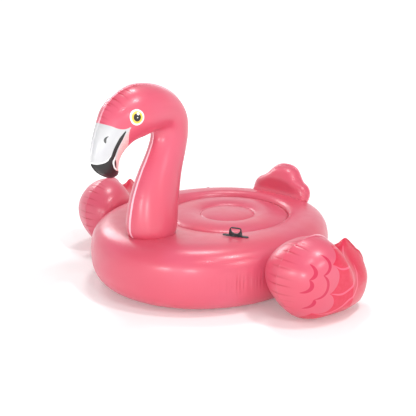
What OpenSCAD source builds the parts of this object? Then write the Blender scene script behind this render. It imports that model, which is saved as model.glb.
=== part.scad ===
// Inflatable bird-shaped island float: welded film panels, internal webs, moulded handles and valves.
// Millimetres, +Z up, the bird looks along -Y. The origin is on the ground under the seat's centre.

/* [Ring] */
// Half width of the ring across the float
ring_half_w = 700; // [640:5:740]
// Half length of the ring from breast to tail
ring_half_l = 788; // [740:5:820]
// How far the ring's centre lies forward of the seat's centre
ring_forward = 148; // [130:2:160]
// Height of the inflated ring
ring_h = 384; // [360:2:400]
// Half width of the round part of the tube
tube_half_w = 238; // [210:2:240]
// Squareness of the tube's section
tube_power = 3; // [2.4:0.1:3.6]

/* [Seat] */
// Radius of the groove between ring and seat
seat_r = 388; // [370:2:396]
// Radius of the groove around the middle disc
disc_r = 172; // [150:2:190]
// Height of the outer groove
seat_groove_z = 337; // [320:1:345]
// Height of the inner groove
disc_groove_z = 346; // [330:1:350]
// How far the seat swells above its grooves
seat_swell = 28; // [10:1:34]
// Height of the grooves in the underside
floor_groove_z = 40; // [20:1:60]

/* [Film] */
// Thickness of the vinyl film
film = 1.5; // [1:0.1:2]
// Width of the welded seam outside the air chambers
weld_w = 12; // [6:1:16]

/* [Wings] */
// Swell of a wing's outer panel
wing_swell_out = 185; // [150:5:200]
// Swell of a wing's inner panel
wing_swell_in = 180; // [150:5:190]
// Clearance between a wing and the ring
wing_gap = 5; // [4:0.5:8]

/* [Tail] */
// Swell of each tail panel
tail_swell = 78; // [60:2:90]
// Backward lean of the tail
tail_lean = 21; // [18:1:24]

/* [Handles] */
// Length of the handle's base strip
strip_l = 158; // [150:2:190]
// Width of the grip loop
loop_w = 84; // [76:2:96]
// Height of the grip loop
loop_h = 52; // [46:1:60]
// Thickness of the grip loop
loop_t = 12; // [9:1:16]

/* [Valves] */
// Bore radius of a valve collar
valve_r = 13; // [11:0.5:15]
// Wall of a valve collar
valve_wall = 3; // [2.5:0.5:4]
// Radius of a valve's weld flange
flange_r = 30; // [26:1:34]

/* [Hidden] */

PINK = [0.93, 0.42, 0.50];
DARK = [0.16, 0.18, 0.19];
CLEAR = [0.90, 0.80, 0.82];

// Facets around the ring, and the gap kept between welded neighbours
around = 64;
weld_gap = 0.3;
mid_z = ring_h / 2;

// ---- Sheets of film -------------------------------------------------------------------------

// Unit normal of a grid of points at row i, column j
function wrapped(j, n, closed) = closed ? (j + n) % n : max(0, min(n - 1, j));
function normal_at(g, i, j, closed) =
    let (rows = len(g), cols = len(g[0]),
        du = g[min(rows - 1, i + 1)][j] - g[max(0, i - 1)][j],
        dv = g[i][wrapped(j + 1, cols, closed)] - g[i][wrapped(j - 1, cols, closed)],
        n = cross(dv, du))
    n / max(norm(n), 0.000001);

// The same grid moved inwards by the film's thickness
function inside_of(g, closed, t) =
    [for (i = [0:len(g) - 1]) [for (j = [0:len(g[0]) - 1]) g[i][j] - t * normal_at(g, i, j, closed)]];

// A sheet between two grids; a closed sheet joins its last column to its first
module sheet(outer, inner, closed = false) {
    rows = len(outer);
    cols = len(outer[0]);
    half = rows * cols;
    last = closed ? cols - 1 : cols - 2;
    points = concat([for (row = outer) each row], [for (row = inner) each row]);
    skin = [for (i = [0:rows - 2], j = [0:last])
        let (k = (j + 1) % cols,
            a = i * cols + j, b = i * cols + k, c = (i + 1) * cols + k, d = (i + 1) * cols + j)
        each [[a, b, c], [a, c, d], [half + a, half + c, half + b], [half + a, half + d, half + c]]];
    ends = [for (j = [0:last])
        let (k = (j + 1) % cols, m = (rows - 1) * cols)
        each [[j, half + k, k], [j, half + j, half + k],
            [m + j, m + k, half + m + k], [m + j, half + m + k, half + m + j]]];
    sides = closed ? [] : [for (i = [0:rows - 2])
        let (a = i * cols, d = a + cols, b = a + cols - 1, c = b + cols)
        each [[a, d, half + d], [a, half + d, half + a], [b, half + c, c], [b, half + b, half + c]]];
    polyhedron(points, turned(concat(skin, ends, sides)));
}

// Faces are listed anticlockwise and turned here to clockwise seen from outside
function turned(faces) = [for (f = faces) [f[2], f[1], f[0]]];

// A sheet that closes at a middle point: row 0 is the ring of points nearest the pole
module capped_sheet(outer, inner, pole_out, pole_in) {
    rows = len(outer);
    cols = len(outer[0]);
    half = rows * cols;
    top = 2 * half;
    points = concat([for (row = outer) each row], [for (row = inner) each row], [pole_out, pole_in]);
    skin = [for (i = [0:rows - 2], j = [0:cols - 1])
        let (k = (j + 1) % cols,
            a = i * cols + j, b = i * cols + k, c = (i + 1) * cols + k, d = (i + 1) * cols + j)
        each [[a, b, c], [a, c, d], [half + a, half + c, half + b], [half + a, half + d, half + c]]];
    caps = [for (j = [0:cols - 1])
        let (k = (j + 1) % cols)
        each [[top, k, j], [top + 1, half + j, half + k]]];
    m = (rows - 1) * cols;
    rim = [for (j = [0:cols - 1])
        let (k = (j + 1) % cols)
        each [[m + j, m + k, half + m + k], [m + j, half + m + k, half + m + j]]];
    polyhedron(points, turned(concat(skin, caps, rim)));
}

// Superellipse quarter: 0 to 90 degrees gives [0, 1] to [1, 0] with the given squareness
function quarter(a, power) = [pow(sin(a), 2 / power), pow(cos(a), 2 / power)];

// ---- Ring and seat --------------------------------------------------------------------------

function ring_edge(a) = [ring_half_w * cos(a), ring_half_l * sin(a) - ring_forward];
function groove_edge(a) = seat_r * [cos(a), sin(a)];

// Distance and height along the ring's section, for a section of the given length
function tube_w(len) = min(tube_half_w, 0.8 * len);
function section_top(len) = concat(
    [for (k = [0:6]) let (q = quarter(90 - 15 * k, tube_power)) [tube_w(len) * (1 - q[0]), q[1]]],
    [for (k = [1:6]) let (q = quarter(15 * k, 2.3))
        [tube_w(len) + (len - tube_w(len)) * q[0],
            (seat_groove_z - mid_z + (ring_h - seat_groove_z) * q[1]) / mid_z]]);
function section_bottom(len) = concat(
    [for (k = [0:5]) let (q = quarter(90 - 18 * k, tube_power)) [tube_w(len) * (1 - q[0]), -q[1]]],
    [for (k = [1:4]) let (q = quarter(22.5 * k, 2.3))
        [tube_w(len) + (len - tube_w(len)) * (0.5 + 0.5 * q[0]),
            -1 + floor_groove_z / mid_z * (1 - q[1])]]);

function ring_point(a, s) =
    let (e = ring_edge(a), g = groove_edge(a), len = norm(e - g), p = e + (g - e) * s[0] / len)
    [p[0], p[1], mid_z + mid_z * s[1]];
function ring_grid(top) =
    let (rows = top ? 13 : 10)
    [for (i = [0:rows - 1]) [for (j = [0:around - 1])
        let (a = j * 360 / around, len = norm(ring_edge(a) - groove_edge(a)),
            s = top ? section_top(len)[i] : section_bottom(len)[i])
        ring_point(a, s)]];

// The seam rows stay half a weld gap away from the mid plane
function lifted(g, row, dz) = [for (i = [0:len(g) - 1]) [for (p = g[i])
    i == row ? [p[0], p[1], p[2] + dz] : p]];

module ring_top_panel() {
    g = lifted(ring_grid(true), 0, weld_gap / 2);
    color(PINK) difference() {
        sheet(g, inside_of(g, true, film), true);
        ring_valve_place() valve_hole();
    }
}

module ring_bottom_panel() {
    g = lifted(ring_grid(false), 0, -weld_gap / 2);
    color(PINK) sheet(reversed(g), reversed(inside_of(g, true, -film)), true);
}

// Columns in the opposite order, which turns a sheet's sides over
function reversed(g) = [for (row = g) [for (j = [len(row) - 1:-1:0]) row[j]]];

// Height of a pillow between two grooves: u runs from 0 at the outer one to 1 at the inner one
function arch(u, power) = pow(max(0, 1 - pow(abs(2 * u - 1), power)), 1 / power);

module seat_panel() {
    rows = 9;
    outer_r = seat_r - weld_gap;
    g = [for (i = [0:rows - 1]) [for (j = [0:around - 1])
        let (u = (1 - cos(180 * i / (rows - 1))) / 2, r = outer_r + (disc_r + weld_gap - outer_r) * u,
            z = seat_groove_z + (disc_groove_z - seat_groove_z) * u + seat_swell * arch(u, 2.4),
            a = j * 360 / around)
        [r * cos(a), r * sin(a), z]]];
    color(PINK) sheet(g, inside_of(g, true, film), true);
}

// Radii and heights of a disc that swells from its groove
function disc_grid(r, z, swell, rows) = [for (i = [1:rows]) [for (j = [0:around - 1])
    let (q = quarter(90 * i / rows, 2.4), a = j * 360 / around)
    [r * q[0] * cos(a), r * q[0] * sin(a), z + swell * q[1]]]];

module seat_disc_panel() {
    top_z = disc_groove_z + 0.7 * seat_swell;
    g = disc_grid(disc_r, disc_groove_z, 0.7 * seat_swell, 4);
    color(PINK) capped_sheet(reversed(g), reversed(inside_of(g, true, -film)),
        [0, 0, top_z], [0, 0, top_z - film]);
}

module floor_panel() {
    steps = [0, 0.03, 0.1, 0.22, 0.78, 0.9, 0.97, 1];
    rise = [1, 0.45, 0.12, 0, 0, 0.12, 0.45, 1];
    outer_r = seat_r - weld_gap;
    g = [for (i = [0:len(steps) - 1]) [for (j = [0:around - 1])
        let (r = outer_r + (disc_r + weld_gap - outer_r) * steps[i], a = j * 360 / around)
        [r * cos(a), r * sin(a), floor_groove_z * rise[i]]]];
    color(PINK) sheet(reversed(g), reversed(inside_of(g, true, -film)), true);
}

module floor_disc_panel() {
    edge = [0.82, 0.93, 0.98, 1];
    rise = [0, 0.12, 0.45, 1];
    g = [for (i = [0:3]) [for (j = [0:around - 1])
        let (a = j * 360 / around)
        [disc_r * edge[i] * cos(a), disc_r * edge[i] * sin(a), floor_groove_z * rise[i]]]];
    color(PINK) capped_sheet(g, inside_of(g, true, film), [0, 0, 0], [0, 0, film]);
}

// A web is a wall of film that holds the top and the underside together, with holes for the air
module web(r, top_z, holes) {
    low = floor_groove_z + 2;
    color(PINK) difference() {
        translate([0, 0, low]) cylinder(r = r + film, h = top_z - 2 - low, $fn = around);
        translate([0, 0, low - 1]) cylinder(r = r, h = top_z - low, $fn = around);
        for (k = [0:holes - 1])
            rotate([0, 0, (k + 0.5) * 360 / holes])
                translate([r - 10, 0, mid_z])
                    rotate([0, 90, 0]) cylinder(r = 30, h = 20, $fn = 32);
    }
}
module outer_web() { web(seat_r - 4, seat_groove_z, 8); }
module inner_web() { web(disc_r - 4, disc_groove_z, 6); }

// ---- Neck and head --------------------------------------------------------------------------

// Stations up the neck, over the head and down the beak: back rail [y, z], front rail [y, z], swell
stations = [
    [[-490, 396], [-818, 396], 146], [[-476, 500], [-806, 500], 136], [[-456, 620], [-776, 620], 122],
    [[-427, 740], [-722, 738], 106], [[-392, 850], [-658, 850], 95], [[-372, 950], [-624, 930], 92],
    [[-383, 1052], [-628, 976], 98], [[-444, 1146], [-652, 980], 110], [[-548, 1212], [-690, 970], 124],
    [[-666, 1244], [-732, 958], 132], [[-790, 1246], [-774, 950], 131], [[-888, 1209], [-802, 940], 122],
    [[-960, 1152], [-822, 928], 108], [[-1005, 1072], [-845, 912], 93], [[-1038, 1000], [-868, 888], 79],
    [[-1060, 925], [-884, 860], 67], [[-1064, 862], [-890, 826], 56], [[-1034, 816], [-890, 798], 44],
    [[-990, 783], [-893, 776], 27], [[-950, 764], [-915, 763], 8]];

// Catmull-Rom value between b and c
function spline(a, b, c, d, t) =
    0.5 * (2 * b + (c - a) * t + (2 * a - 5 * b + 4 * c - d) * t * t + (3 * b - a - 3 * c + d) * t * t * t);
function station_at(u) =
    let (n = len(stations), i = min(n - 2, floor(u)), t = u - i,
        a = stations[max(0, i - 1)], b = stations[i], c = stations[i + 1], d = stations[min(n - 1, i + 2)])
    [for (k = [0:2]) spline(a[k], b[k], c[k], d[k], t)];

// One half of the neck's section: from the front weld, over the side, to the back weld
neck_cols = 13;
function neck_row(s) =
    let (back = s[0], front = s[1], mid = (back + front) / 2, half = (back - front) / 2,
        out = half / norm(half), seam = film + weld_gap / 2)
    concat(
        [[seam, front[0] - weld_w * out[0], front[1] - weld_w * out[1]]],
        [for (j = [0:neck_cols - 1])
            let (a = 180 * j / (neck_cols - 1), p = mid - half * cos(a))
            [seam + s[2] * pow(sin(a), 1.15), p[0], p[1]]],
        [[seam, back[0] + weld_w * out[0], back[1] + weld_w * out[1]]]);
neck_steps = 34;
function neck_grid() = [for (i = [0:neck_steps]) neck_row(station_at(i * (len(stations) - 1) / neck_steps))];

// The inner side never crosses the weld plane
function held(g) = [for (row = g) [for (p = row) [max(weld_gap / 2, p[0]), p[1], p[2]]]];

module neck_half() {
    g = neck_grid();
    sheet(g, held(inside_of(g, false, film)));
}
module neck_left_panel() { color(PINK) neck_half(); }
module neck_right_panel() {
    color(PINK) difference() {
        mirror([1, 0, 0]) neck_half();
        neck_valve_place() valve_hole();
    }
}

// The short collar that welds the neck to the ring, inside the foot of the neck
neck_y = -654;
module neck_collar() {
    color(PINK) translate([0, neck_y, ring_h + 1]) difference() {
        cylinder(r = 118, h = 30, $fn = 64);
        translate([0, 0, -1]) cylinder(r = 118 - film, h = 32, $fn = 64);
    }
}

// ---- Wings ----------------------------------------------------------------------------------

// A wing's weld line seen from the side [y, z]: round in front, feather tips behind
wing_middle = [-205, 215];
wing_line = [
    [-330, 6], [-395, 45], [-450, 110], [-490, 180], [-508, 260], [-495, 340], [-450, 400],
    [-380, 448], [-300, 470], [-225, 463], [-165, 428], [-120, 364], [-82, 368], [-30, 402],
    [14, 354], [52, 304], [84, 278], [106, 232], [110, 165], [94, 95], [60, 44], [16, 9],
    [-40, 4], [-105, 3], [-180, 3], [-255, 3]];
wing_rows = 6;

// The weld lies in a plane that turns outwards towards the feather tips
function wing_plane(y) = 826 + 0.204 * (y + 519);

// The ring's side at a height, where a wing lies against it
function ring_side(y, z) =
    let (h = min(0.999, abs(z - mid_z) / mid_z), in = tube_half_w * (1 - pow(1 - pow(h, tube_power), 1 / tube_power)),
        v = min(0.95, abs(y + ring_forward) / (ring_half_l - in)))
    (ring_half_w - in) * sqrt(1 - v * v);
function wing_stop(y, z) = ring_side(y, z) + wing_gap + max(0, z - 290) * 0.4;

// Swell falls off from the middle to the weld, and is less over the feather tips
function wing_swell(u, p) = pow(max(0, 1 - pow(u, 3.4)), 0.56) * (1 - 0.42 * max(0, min(1, (p[0] + 120) / 320)));

// A point moved out from the middle by the weld's width, and kept off the ground
function welded(middle, p, low) =
    let (d = p - middle, q = middle + d * (1 + weld_w / norm(d)))
    [q[0], max(low, q[1])];

function wing_point(side, u, p) =
    let (q = wing_middle + (p - wing_middle) * min(1, u), x0 = wing_plane(q[0]), seam = film + weld_gap / 2)
    side > 0 ? [x0 + seam + wing_swell_out * wing_swell(u, q), q[0], q[1]]
        : [max(wing_stop(q[0], q[1]), x0 - seam - wing_swell_in * wing_swell(u, q)), q[0], q[1]];
function wing_grid(side) = concat(
    [for (i = [1:wing_rows]) [for (p = wing_line) wing_point(side, pow(i / wing_rows, 0.8), p)]],
    [[for (p = wing_line) wing_point(side, 1, welded(wing_middle, p, 2))]]);

// The film's inner side never crosses the weld plane or the ground
function wing_held(side, p) =
    let (x = wing_plane(p[1]) + side * weld_gap / 2)
    [side > 0 ? max(p[0], x) : min(p[0], x), p[1], max(0.5, p[2])];

module wing_panel(side) {
    g = wing_grid(side);
    pole = wing_point(side, 0, wing_middle);
    inner = [for (row = inside_of(g, true, side * film)) [for (p = row) wing_held(side, p)]];
    if (side > 0)
        capped_sheet(g, inner, pole, pole - [film, 0, 0]);
    else
        capped_sheet(reversed(g), reversed(inner), pole, pole + [film, 0, 0]);
}
module wing_left_outer_panel() { color(PINK) wing_panel(1); }
module wing_left_inner_panel() { color(PINK) wing_panel(-1); }
module wing_right_outer_panel() { color(PINK) mirror([1, 0, 0]) wing_panel(1); }
module wing_right_inner_panel() { color(PINK) mirror([1, 0, 0]) wing_panel(-1); }

// ---- Tail -----------------------------------------------------------------------------------

// Half of the tail's weld line [x, height above the foot]
tail_half = [[116, 1], [214, -10], [230, 14], [226, 50], [200, 82], [157, 105], [134, 124], [113, 148],
    [86, 174], [46, 191]];
tail_line = concat([[0, 4]], tail_half, [[0, 195]],
    [for (i = [len(tail_half) - 1:-1:0]) [-tail_half[i][0], tail_half[i][1]]]);
tail_middle = [0, 84];
tail_foot = [0, 535, 378];
tail_rows = 5;

// Points in the tail's own frame: across, out of the weld plane, up along the lean
function tail_local(side, u, p) =
    let (q = tail_middle + (p - tail_middle) * min(1, u))
    [q[0], side * (film + weld_gap / 2 + tail_swell * pow(max(0, 1 - pow(u, 2.2)), 0.6)), q[1]];
function leaned(p) = tail_foot + [p[0],
    p[1] * cos(tail_lean) + p[2] * sin(tail_lean), p[2] * cos(tail_lean) - p[1] * sin(tail_lean)];
function tail_grid(side) = concat(
    [for (i = [1:tail_rows]) [for (p = tail_line) tail_local(side, pow(i / tail_rows, 0.8), p)]],
    [[for (p = tail_line) tail_local(side, 1, welded(tail_middle, p, p[1] - 1))]]);
function leaned_grid(g) = [for (row = g) [for (p = row) leaned(p)]];

module tail_panel(side) {
    g = tail_grid(side);
    pole = tail_local(side, 0, tail_middle);
    inner = [for (row = inside_of(g, true, -side * film)) [for (p = row)
        [p[0], side > 0 ? max(p[1], weld_gap / 2) : min(p[1], -weld_gap / 2), p[2]]]];
    far_pole = leaned(pole - [0, side * film, 0]);
    if (side > 0)
        capped_sheet(reversed(leaned_grid(g)), reversed(leaned_grid(inner)), leaned(pole), far_pole);
    else
        capped_sheet(leaned_grid(g), leaned_grid(inner), leaned(pole), far_pole);
}
module tail_front_panel() { color(PINK) tail_panel(-1); }
module tail_back_panel() {
    color(PINK) difference() {
        tail_panel(1);
        tail_valve_place() valve_hole();
    }
}

// ---- Handles --------------------------------------------------------------------------------

handle_at = [408, -370, 385];
handle_turn = 22;
module handle() {
    grip = 7;
    window_r = 30;
    translate(handle_at) rotate([0, 0, handle_turn]) {
        linear_extrude(4) {
            square([strip_l - 24, 24], center = true);
            for (s = [-1, 1]) translate([s * (strip_l / 2 - 12), 0]) circle(r = 12, $fn = 32);
        }
        translate([0, loop_t / 2, 0]) rotate([90, 0, 0]) linear_extrude(loop_t) difference() {
            loop_outline();
            intersection() {
                translate([0, loop_h - grip]) circle(r = window_r, $fn = 64);
                translate([-window_r, 0]) square([2 * window_r, loop_h - grip]);
            }
        }
    }
}
module loop_outline() {
    foot = loop_w / 2;
    crown = loop_w / 2 - 8;
    polygon([[-foot, 2], [foot, 2], [crown + 1, loop_h - 8], [crown - 7, loop_h],
        [7 - crown, loop_h], [-crown - 1, loop_h - 8]]);
}
module handle_left() { color(DARK) handle(); }
module handle_right() { color(DARK) mirror([1, 0, 0]) handle(); }

// ---- Valves ---------------------------------------------------------------------------------

collar_h = 8;
stem_h = 14;
hinge_x = valve_r + valve_wall + 4;

// Stands its children on a panel at a point, along the panel's outward normal n
module on_panel(p, n) {
    translate(p + 0.6 * n) rotate([0, acos(n[2]), atan2(n[1], n[0])]) children();
}
ring_valve_row = 3;
ring_valve_col = 25;
module ring_valve_place() {
    g = ring_grid(true);
    on_panel(g[ring_valve_row][ring_valve_col], normal_at(g, ring_valve_row, ring_valve_col, true)) children();
}
module tail_valve_place() {
    n = [0, cos(tail_lean), -sin(tail_lean)];
    on_panel(leaned(tail_local(1, 0, tail_middle)), n) children();
}
neck_valve_row = 2;
neck_valve_col = 9;
module neck_valve_place() {
    g = neck_grid();
    p = g[neck_valve_row][neck_valve_col];
    n = normal_at(g, neck_valve_row, neck_valve_col, false);
    on_panel([-p[0], p[1], p[2]], [-n[0], n[1], n[2]]) children();
}

module valve_hole() { translate([0, 0, -30]) cylinder(r = valve_r + valve_wall + 0.5, h = 60, $fn = 48); }

// Flange, collar, inner stem with the lip that the flap shuts against, and the cap's hinge lugs
module valve_base() {
    color(CLEAR) {
        difference() {
            union() {
                cylinder(r = flange_r, h = 1.2, $fn = 64);
                translate([0, 0, -stem_h]) cylinder(r = valve_r + valve_wall, h = stem_h + collar_h, $fn = 64);
            }
            translate([0, 0, -stem_h - 1]) cylinder(r = valve_r, h = stem_h - 7, $fn = 64);
            translate([0, 0, -8]) cylinder(r = valve_r - 2, h = 4, $fn = 64);
            translate([0, 0, -5]) cylinder(r = valve_r, h = collar_h + 6, $fn = 64);
        }
        for (s = [-1, 1])
            translate([-hinge_x, s * 4.5 - 1.2, 0]) difference() {
                union() {
                    translate([-2.4, 0, 1]) cube([4.8, 2.4, collar_h - 1]);
                    translate([0, 0, collar_h]) rotate([-90, 0, 0]) cylinder(r = 2.4, h = 2.4, $fn = 32);
                }
                translate([0, -1, collar_h]) rotate([-90, 0, 0]) cylinder(r = 1.05, h = 4.4, $fn = 32);
            }
    }
}
// Cap with its plug, its strap and the hinge pin moulded on the strap
module valve_cap() {
    color(CLEAR) {
        translate([0, 0, collar_h + 0.4]) cylinder(r = valve_r + valve_wall, h = 2.4, $fn = 64);
        translate([0, 0, collar_h - 4]) cylinder(r = valve_r - 0.9, h = 5, $fn = 64);
        translate([-hinge_x, -2.6, collar_h + 0.4]) cube([hinge_x - valve_r, 5.2, 2.4]);
        translate([-hinge_x, -2.6, collar_h]) rotate([-90, 0, 0]) cylinder(r = 1.8, h = 5.2, $fn = 32);
        translate([-hinge_x, -6.2, collar_h]) rotate([-90, 0, 0]) cylinder(r = 1, h = 12.4, $fn = 32);
    }
}
// Check flap that swings inwards and shuts against the lip
module valve_flap() {
    color(CLEAR) translate([0, 0, -9.2]) cylinder(r = valve_r - 0.8, h = 0.9, $fn = 64);
}
module ring_valve_base() { ring_valve_place() valve_base(); }
module ring_valve_cap() { ring_valve_place() valve_cap(); }
module ring_valve_flap() { ring_valve_place() valve_flap(); }
module tail_valve_base() { tail_valve_place() valve_base(); }
module tail_valve_cap() { tail_valve_place() valve_cap(); }
module tail_valve_flap() { tail_valve_place() valve_flap(); }
module neck_valve_base() { neck_valve_place() valve_base(); }
module neck_valve_cap() { neck_valve_place() valve_cap(); }
module neck_valve_flap() { neck_valve_place() valve_flap(); }

ring_top_panel();
ring_bottom_panel();
seat_panel();
seat_disc_panel();
floor_panel();
floor_disc_panel();
outer_web();
inner_web();
neck_left_panel();
neck_right_panel();
neck_collar();
wing_left_outer_panel();
wing_left_inner_panel();
wing_right_outer_panel();
wing_right_inner_panel();
tail_front_panel();
tail_back_panel();
handle_left();
handle_right();
ring_valve_base();
ring_valve_cap();
ring_valve_flap();
tail_valve_base();
tail_valve_cap();
tail_valve_flap();
neck_valve_base();
neck_valve_cap();
neck_valve_flap();
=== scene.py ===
"""Inflatable bird-shaped island float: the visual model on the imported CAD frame.

Metres, +Z up, and the bird looks along -Y.
"""

import math

import bpy
import numpy as np
from mathutils import Matrix, Vector


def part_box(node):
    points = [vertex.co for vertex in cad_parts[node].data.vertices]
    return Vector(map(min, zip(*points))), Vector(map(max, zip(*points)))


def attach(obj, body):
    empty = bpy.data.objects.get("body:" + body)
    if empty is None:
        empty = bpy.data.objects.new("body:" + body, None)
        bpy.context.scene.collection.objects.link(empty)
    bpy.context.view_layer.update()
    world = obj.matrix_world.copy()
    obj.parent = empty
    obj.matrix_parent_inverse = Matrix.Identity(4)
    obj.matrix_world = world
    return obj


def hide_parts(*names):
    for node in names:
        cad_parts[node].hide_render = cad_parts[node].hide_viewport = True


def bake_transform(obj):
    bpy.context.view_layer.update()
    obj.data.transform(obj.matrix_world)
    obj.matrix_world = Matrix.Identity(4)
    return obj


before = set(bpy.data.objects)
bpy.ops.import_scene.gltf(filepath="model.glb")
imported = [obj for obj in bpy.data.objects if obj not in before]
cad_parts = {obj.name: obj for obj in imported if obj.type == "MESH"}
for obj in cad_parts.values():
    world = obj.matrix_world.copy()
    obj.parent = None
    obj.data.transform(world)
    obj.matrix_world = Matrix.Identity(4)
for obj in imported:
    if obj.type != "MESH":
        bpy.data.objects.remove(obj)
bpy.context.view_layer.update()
rng = np.random.default_rng(11)
MM = 0.001

# ---- Sizes, from the frame ------------------------------------------------------------------------

ring_lo, ring_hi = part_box("ring_top_panel")
RING_W = ring_hi.x
RING_L = (ring_hi.y - ring_lo.y) / 2
RING_Y = (ring_hi.y + ring_lo.y) / 2
RING_H = ring_hi.z
MID_Z = RING_H / 2
TUBE_W = 238 * MM
TUBE_POWER = 3.0
BASE_POWER = 2.5
SEAT_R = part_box("seat_panel")[1].x
DISC_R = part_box("seat_disc_panel")[1].x
SEAT_GROOVE_Z = 337 * MM
DISC_GROOVE_Z = 346 * MM
SEAT_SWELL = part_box("seat_panel")[1].z - (SEAT_GROOVE_Z + DISC_GROOVE_Z) / 2
FLOOR_GROOVE_Z = 40 * MM
SEAM = 1.65 * MM
WELD_W = 12 * MM


# ---- Curves and meshes ----------------------------------------------------------------------------

def quarter(angle, power):
    """Superellipse quarter: 0 to 90 degrees gives (0, 1) to (1, 0)."""
    a = np.radians(angle)
    return np.clip(np.sin(a), 0, 1) ** (2 / power), np.clip(np.cos(a), 0, 1) ** (2 / power)


def spline(points, u):
    """Catmull-Rom values of a list of rows of numbers at the places u."""
    p = np.asarray(points, float)
    n = len(p)
    i = np.clip(np.floor(u).astype(int), 0, n - 2)
    t = (u - i)[:, None]
    a, b, c, d = p[np.clip(i - 1, 0, n - 1)], p[i], p[i + 1], p[np.clip(i + 2, 0, n - 1)]
    return 0.5 * (2 * b + (c - a) * t + (2 * a - 5 * b + 4 * c - d) * t**2 + (3 * b - a - 3 * c + d) * t**3)


def closed_spline(points, count):
    """count points, evenly spaced, round a closed Catmull-Rom curve, and its length."""
    p = np.asarray(points, float)
    looped = np.vstack([p[-2:], p, p[:3]])
    fine = spline(looped, np.linspace(2, 2 + len(p), 24 * len(p) + 1))
    return spread(fine, count, closed=True)


def spread(path, count, closed=False):
    """Points evenly spaced along a path, and the path's length."""
    steps = np.linalg.norm(np.diff(path, axis=0), axis=1)
    s = np.concatenate([[0], np.cumsum(steps)])
    at = np.linspace(0, s[-1], count, endpoint=not closed)
    return np.stack([np.interp(at, s, path[:, k]) for k in range(path.shape[1])], 1), s[-1]


def grid_normals(g, wrap):
    """Unit normals of a grid of points, rows by columns."""
    du = np.gradient(g, axis=0)
    if wrap:
        dv = np.roll(g, -1, axis=1) - np.roll(g, 1, axis=1)
    else:
        dv = np.gradient(g, axis=1)
    n = np.cross(dv, du)
    return n / np.maximum(np.linalg.norm(n, axis=2, keepdims=True), 1e-12)


def skin(name, g, wrap=False, pole=None, flip=False, values=None):
    """A smooth mesh from a grid of points.

    A wrapped grid joins its last column to its first, and a pole closes row 0.
    """
    rows, cols, _ = g.shape
    idx = np.arange(rows * cols).reshape(rows, cols)
    nxt = np.roll(idx, -1, axis=1) if wrap else idx[:, 1:]
    here = idx if wrap else idx[:, :-1]
    quads = np.stack([here[:-1], nxt[:-1], nxt[1:], here[1:]], -1).reshape(-1, 4)
    co = g.reshape(-1, 3)
    faces = (quads[:, ::-1] if flip else quads).tolist()
    if pole is not None:
        co = np.vstack([co, pole])
        tip = rows * cols
        fan = np.stack([np.full(cols, tip), np.roll(idx[0], -1), idx[0]], 1)
        faces += (fan[:, ::-1] if flip else fan).tolist()
    mesh = bpy.data.meshes.new(name)
    mesh.from_pydata(co.tolist(), [], faces)
    mesh.shade_smooth()
    for key, array in (values or {}).items():
        flat = np.asarray(array, np.float32).reshape(-1)
        if pole is not None:
            flat = np.append(flat, flat[:cols].mean())
        mesh.attributes.new(key, "FLOAT", "POINT").data.foreach_set("value", flat.astype(np.float32))
    obj = bpy.data.objects.new(name, mesh)
    bpy.context.scene.collection.objects.link(obj)
    return obj


class Pleats:
    """Narrow creases that run in from a weld, at uneven places along it."""

    def __init__(self, length, spacing, width, depth, reach):
        self.count = max(3, int(length / spacing))
        self.length = length
        self.at = (np.arange(self.count) + rng.uniform(-0.32, 0.32, self.count)) * length / self.count
        self.width = width * rng.uniform(0.7, 1.5, self.count)
        self.depth = depth * rng.uniform(0.25, 1.2, self.count)
        self.reach = reach * rng.uniform(0.5, 1.25, self.count)

    def drop(self, along, off):
        """How far the film sinks at a distance along the weld and a distance in from it."""
        k = np.floor(along / self.length * self.count).astype(int)
        total = np.zeros_like(along)
        for step in (-1, 0, 1):
            i = (k + step) % self.count
            gap = along - self.at[i]
            gap = gap - self.length * np.round(gap / self.length)
            x = off / self.reach[i]
            shape = np.exp(-(x**2))
            total += self.depth[i] * np.exp(-((gap / self.width[i]) ** 2)) * shape
        return total


def smooth_max(a, b, k):
    return (a + b + np.sqrt((a - b) ** 2 + k * k)) / 2


# ---- Prints: signed distances in millimetres, positive inside -------------------------------------

def arc(start, through, end, count=14):
    """Points on the circle through three points."""
    a, b, c = (complex(*p) for p in (start, through, end))
    w = (c - a) / (b - a)
    centre = (b - a) * (w - abs(w) ** 2) / (2j * w.imag) + a
    radius = abs(a - centre)
    t0, t1, t2 = (np.angle(p - centre) for p in (a, b, c))
    turn = (t2 - t0) % (2 * np.pi)
    if (t1 - t0) % (2 * np.pi) > turn:
        turn -= 2 * np.pi
    t = t0 + turn * np.linspace(0, 1, count)
    return np.stack([centre.real + radius * np.cos(t), centre.imag + radius * np.sin(t)], 1)


def curve(points, per=8):
    """A smooth open curve through points."""
    return spline(points, np.linspace(0, len(points) - 1, per * (len(points) - 1) + 1))


def nearest(path, y, z):
    """Distance to a path and how far along it the nearest place is, from 0 to 1."""
    best = np.full(y.shape, 1e9)
    where = np.zeros(y.shape)
    steps = np.linalg.norm(np.diff(path, axis=0), axis=1)
    s = np.concatenate([[0], np.cumsum(steps)])
    for i in range(len(path) - 1):
        p, d = path[i], path[i + 1] - path[i]
        t = np.clip(((y - p[0]) * d[0] + (z - p[1]) * d[1]) / max(d @ d, 1e-9), 0, 1)
        dist = np.hypot(y - p[0] - t * d[0], z - p[1] - t * d[1])
        closer = dist < best
        best = np.where(closer, dist, best)
        where = np.where(closer, (s[i] + t * steps[i]) / s[-1], where)
    return best, where


def region(outline, y, z):
    """Signed distance to a closed outline."""
    inside = np.zeros(y.shape, bool)
    n = len(outline)
    for i in range(n):
        (y0, z0), (y1, z1) = outline[i], outline[(i + 1) % n]
        crosses = (z0 > z) != (z1 > z)
        inside ^= crosses & (y < (y1 - y0) * (z - z0) / (z1 - z0 + 1e-12) + y0)
    dist, _ = nearest(np.vstack([outline, outline[:1]]), y, z)
    return np.where(inside, dist, -dist)


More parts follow.
